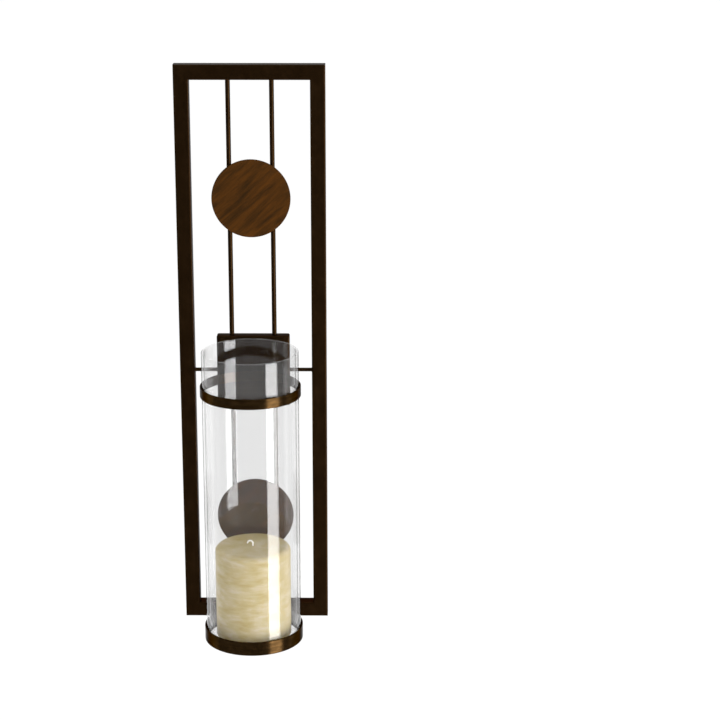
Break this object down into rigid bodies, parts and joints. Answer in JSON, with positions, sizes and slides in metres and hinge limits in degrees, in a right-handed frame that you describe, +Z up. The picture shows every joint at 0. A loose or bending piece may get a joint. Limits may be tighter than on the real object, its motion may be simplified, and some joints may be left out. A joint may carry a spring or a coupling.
{
  "type": "wall sconce candle holder",
  "caption": "Wall-hung candle sconce: an open rectangular bronze frame with upright rods and round discs, whose base ring and collar hold a tall glass cylinder with a pillar candle.",
  "frame": {"origin": "midway between the two keyholes, on the back face of the top rail, where the frame meets the wall", "axes": "+Z up, +Y out of the frame's back into the wall, +X to the right as seen from the room"},
  "size_m": [0.15, 0.119, 0.584],
  "materials": {
    "bronze_paint": "satin dark bronze powder coat",
    "brushed_bronze": "brushed dark bronze",
    "disc_bronze": "mottled brushed bronze",
    "clear_glass": "clear polished",
    "wax": "mottled ivory wax, slightly translucent",
    "wick_cotton": "braided cotton",
    "sustainer_tin": "plain pressed tin",
    "bumper_rubber": "soft matt"
  },
  "bodies": {
    "root": {"top_rail": "bronze_paint", "bottom_rail": "bronze_paint", "left_stile": "bronze_paint", "right_stile": "bronze_paint", "left_rod": "bronze_paint", "right_rod": "bronze_paint", "left_cross_rod": "bronze_paint", "right_cross_rod": "bronze_paint", "upper_disc": "disc_bronze", "lower_disc": "disc_bronze", "collar_plate": "bronze_paint", "collar_bracket": "bronze_paint", "glass_collar": "brushed_bronze", "base_bracket": "bronze_paint", "base_ring": "brushed_bronze", "left_wall_bumper": "bumper_rubber", "right_wall_bumper": "bumper_rubber"},
    "glass": {"glass_cylinder": "clear_glass"},
    "candle": {"candle_wax": "wax", "candle_wick": "wick_cotton", "wick_sustainer": "sustainer_tin"}
  },
  "joints": [
    {"name": "glass_lift", "type": "slide", "parent": "root", "child": "glass", "axis": [0, 0, 1], "range_m": [0, 0.3]},
    {"name": "candle_lift", "type": "slide", "parent": "glass", "child": "candle", "axis": [0, 0, 1], "range_m": [0, 0.32]}
  ]
}
